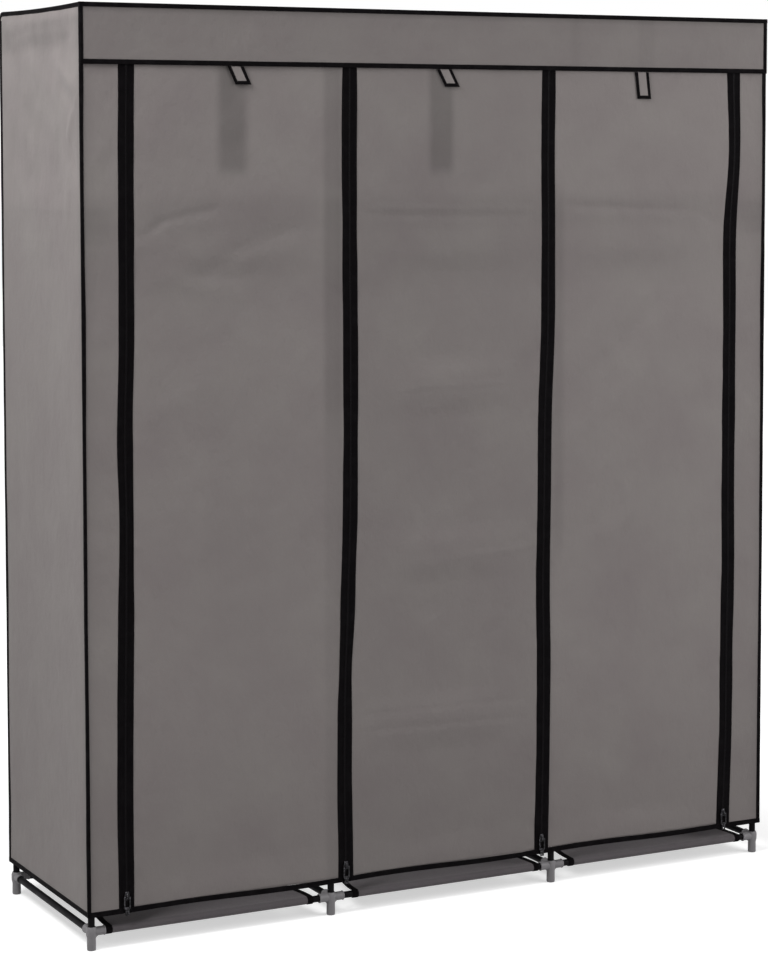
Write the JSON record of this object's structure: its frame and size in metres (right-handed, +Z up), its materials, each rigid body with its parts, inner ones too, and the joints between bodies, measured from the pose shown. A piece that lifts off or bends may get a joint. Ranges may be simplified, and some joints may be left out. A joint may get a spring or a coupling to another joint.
{
  "type": "portable fabric wardrobe",
  "caption": "Free-standing cloth-covered wardrobe: a plug-together tube frame with hanging rods and cloth shelves behind zipped roll-up doors.",
  "frame": {"origin": "on the floor under the middle of the wardrobe", "axes": "+Z up, +X to the right for someone facing the doors, the doors face -Y"},
  "size_m": [1.5, 0.4551, 1.75],
  "materials": {
    "cover_cloth": "grey non-woven cloth, embossed, matt",
    "shelf_cloth": "dark grey non-woven cloth, matt",
    "binding": "black woven tape, stitched",
    "tube": "black powder-coated steel tube, satin",
    "connector": "grey injection-moulded plastic, matt",
    "zip_metal": "gunmetal lacquered die-cast zinc"
  },
  "bodies": {
    "root": {"cover_left_side": "cover_cloth", "cover_right_side": "cover_cloth", "cover_back": "cover_cloth", "cover_top": "cover_cloth", "cover_valance": "cover_cloth", "cover_flange_left": "cover_cloth", "cover_flange_right": "cover_cloth", "shelf_bottom_left": "shelf_cloth", "shelf_bottom_middle": "shelf_cloth", "shelf_bottom_right": "shelf_cloth", "shelf_middle_1": "shelf_cloth", "shelf_middle_2": "shelf_cloth", "shelf_middle_3": "shelf_cloth", "shelf_top_left": "shelf_cloth", "shelf_top_middle": "shelf_cloth", "shelf_top_right": "shelf_cloth", "foot_connector_front_1": "connector", "foot_connector_front_2": "connector", "foot_connector_front_3": "connector", "foot_connector_front_4": "connector", "foot_connector_back_1": "connector", "foot_connector_back_2": "connector", "foot_connector_back_3": "connector", "foot_connector_back_4": "connector", "post_front_1": "tube", "post_front_2": "tube", "post_front_3": "tube", "post_front_4": "tube", "post_back_1": "tube", "post_back_2": "tube", "post_back_3": "tube", "post_back_4": "tube", "top_rail_front_left": "tube", "top_rail_front_middle": "tube", "top_rail_front_right": "tube", "top_rail_back_left": "tube", "top_rail_back_middle": "tube", "top_rail_back_right": "tube", "hanging_rod_left": "tube", "hanging_rod_right": "tube"},
    "door_left_body": {"door_left": "cover_cloth", "door_hem_left": "binding"},
    "door_middle_body": {"door_middle": "cover_cloth", "door_hem_middle": "binding"},
    "door_right_body": {"door_right": "cover_cloth", "door_hem_right": "binding"},
    "slider_1": {"zip_slider_1": "zip_metal"},
    "slider_2": {"zip_slider_2": "zip_metal"},
    "slider_3": {"zip_slider_3": "zip_metal"},
    "slider_4": {"zip_slider_4": "zip_metal"},
    "pull_1": {"zip_pull_1": "zip_metal"},
    "pull_2": {"zip_pull_2": "zip_metal"},
    "pull_3": {"zip_pull_3": "zip_metal"},
    "pull_4": {"zip_pull_4": "zip_metal"},
    "loop_left": {"tie_loop_left": "cover_cloth"},
    "loop_middle": {"tie_loop_middle": "cover_cloth"},
    "loop_right": {"tie_loop_right": "cover_cloth"},
    "strap_left": {"tie_strap_left": "cover_cloth"},
    "strap_middle": {"tie_strap_middle": "cover_cloth"},
    "strap_right": {"tie_strap_right": "cover_cloth"}
  },
  "joints": [
    {"name": "door_left_lift", "type": "slide", "parent": "root", "child": "door_left_body", "axis": [0.0083, 0, 1], "range_m": [0, 1.44], "deforming": ["door_left"]},
    {"name": "door_middle_lift", "type": "slide", "parent": "root", "child": "door_middle_body", "axis": [0.0083, 0, 1], "range_m": [0, 1.44], "deforming": ["door_middle"]},
    {"name": "door_right_lift", "type": "slide", "parent": "root", "child": "door_right_body", "axis": [0.0083, 0, 1], "range_m": [0, 1.44], "deforming": ["door_right"]},
    {"name": "zip_1_slide", "type": "slide", "parent": "root", "child": "slider_1", "axis": [0.0083, 0, 1], "range_m": [0, 1.523]},
    {"name": "zip_2_slide", "type": "slide", "parent": "root", "child": "slider_2", "axis": [0.0083, 0, 1], "range_m": [0, 1.523]},
    {"name": "zip_3_slide", "type": "slide", "parent": "root", "child": "slider_3", "axis": [0.0083, 0, 1], "range_m": [0, 1.523]},
    {"name": "zip_4_slide", "type": "slide", "parent": "root", "child": "slider_4", "axis": [0.0083, 0, 1], "range_m": [0, 1.523]},
    {"name": "pull_1_swing", "type": "hinge", "parent": "slider_1", "child": "pull_1", "pos_m": [-0.67323, -0.2274, 0.0949], "axis": [-1, 0, 0], "range_deg": [0, 170]},
    {"name": "pull_2_swing", "type": "hinge", "parent": "slider_2", "child": "pull_2", "pos_m": [-0.22023, -0.2274, 0.0949], "axis": [-1, 0, 0], "range_deg": [0, 170]},
    {"name": "pull_3_swing", "type": "hinge", "parent": "slider_3", "child": "pull_3", "pos_m": [0.21777, -0.2274, 0.0949], "axis": [-1, 0, 0], "range_deg": [0, 170]},
    {"name": "pull_4_swing", "type": "hinge", "parent": "slider_4", "child": "pull_4", "pos_m": [0.65627, -0.2274, 0.0949], "axis": [-1, 0, 0], "range_deg": [0, 170]},
    {"name": "loop_left_swing", "type": "hinge", "parent": "root", "child": "loop_left", "pos_m": [-0.444, -0.2275, 1.6377], "axis": [-1, 0, 0], "range_deg": [0, 165]},
    {"name": "loop_middle_swing", "type": "hinge", "parent": "root", "child": "loop_middle", "pos_m": [-0.0045, -0.2275, 1.6377], "axis": [-1, 0, 0], "range_deg": [0, 165]},
    {"name": "loop_right_swing", "type": "hinge", "parent": "root", "child": "loop_right", "pos_m": [0.446, -0.2275, 1.6377], "axis": [-1, 0, 0], "range_deg": [0, 165]},
    {"name": "strap_left_swing", "type": "hinge", "parent": "root", "child": "strap_left", "pos_m": [-0.444, -0.2203, 1.6377], "axis": [1, 0, 0], "range_deg": [0, 80]},
    {"name": "strap_middle_swing", "type": "hinge", "parent": "root", "child": "strap_middle", "pos_m": [-0.0045, -0.2203, 1.6377], "axis": [1, 0, 0], "range_deg": [0, 80]},
    {"name": "strap_right_swing", "type": "hinge", "parent": "root", "child": "strap_right", "pos_m": [0.446, -0.2203, 1.6377], "axis": [1, 0, 0], "range_deg": [0, 80]}
  ]
}
